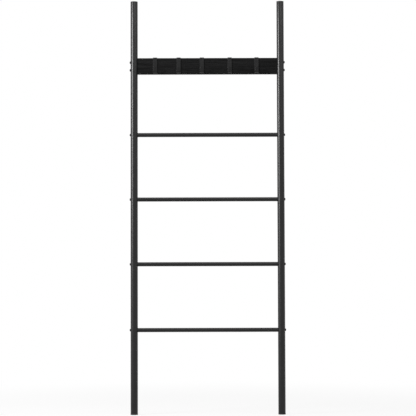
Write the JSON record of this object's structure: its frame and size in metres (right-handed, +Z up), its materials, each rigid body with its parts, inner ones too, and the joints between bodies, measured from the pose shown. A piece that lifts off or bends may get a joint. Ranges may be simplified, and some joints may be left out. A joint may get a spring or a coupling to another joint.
{
  "type": "blanket ladder",
  "caption": "Blanket ladder: round tube rails, thin tube rungs and a flat board near the top that carries loose sliding strap hooks.",
  "frame": {"origin": "on the floor, in the middle of the ladder's width and of its depth from the hooks' tips to the backs of the feet; the ladder stands upright on its feet", "axes": "+X to the ladder's right as seen from the room, +Y towards its back, where the wall is that it leans on in use, +Z up along the rails"},
  "size_m": [0.6016, 0.0482, 1.597],
  "materials": {
    "rail_steel": "satin black powder coat",
    "rung_steel": "satin black powder coat",
    "board_wood": "matte black wood-grain foil on fibreboard",
    "hook_steel": "satin black powder coat",
    "bolt_steel": "black oxide",
    "insert_steel": "zinc plated",
    "cap_plastic": "moulded black polyethylene"
  },
  "bodies": {
    "root": {"rail_left": "rail_steel", "rail_right": "rail_steel", "hook_board": "board_wood", "board_bolts": "bolt_steel", "board_inserts": "insert_steel", "top_cap_left": "cap_plastic", "top_cap_right": "cap_plastic", "foot_cap_left": "cap_plastic", "foot_cap_right": "cap_plastic", "rung_1": "rung_steel", "rung_1_bolts": "bolt_steel", "rung_1_inserts": "insert_steel", "rung_2": "rung_steel", "rung_2_bolts": "bolt_steel", "rung_2_inserts": "insert_steel", "rung_3": "rung_steel", "rung_3_bolts": "bolt_steel", "rung_3_inserts": "insert_steel", "rung_4": "rung_steel", "rung_4_bolts": "bolt_steel", "rung_4_inserts": "insert_steel"},
    "hook_1": {"hook_1": "hook_steel"},
    "hook_2": {"hook_2": "hook_steel"},
    "hook_3": {"hook_3": "hook_steel"},
    "hook_4": {"hook_4": "hook_steel"},
    "hook_5": {"hook_5": "hook_steel"}
  },
  "joints": [
    {"name": "hook_1_slide", "type": "slide", "parent": "root", "child": "hook_1", "axis": [1, 0, 0], "range_m": [-0.058, 0.037]},
    {"name": "hook_2_slide", "type": "slide", "parent": "root", "child": "hook_2", "axis": [1, 0, 0], "range_m": [-0.037, 0.0365]},
    {"name": "hook_3_slide", "type": "slide", "parent": "root", "child": "hook_3", "axis": [1, 0, 0], "range_m": [-0.0365, 0.0455]},
    {"name": "hook_4_slide", "type": "slide", "parent": "root", "child": "hook_4", "axis": [1, 0, 0], "range_m": [-0.0455, 0.0435]},
    {"name": "hook_5_slide", "type": "slide", "parent": "root", "child": "hook_5", "axis": [1, 0, 0], "range_m": [-0.0435, 0.069]}
  ]
}
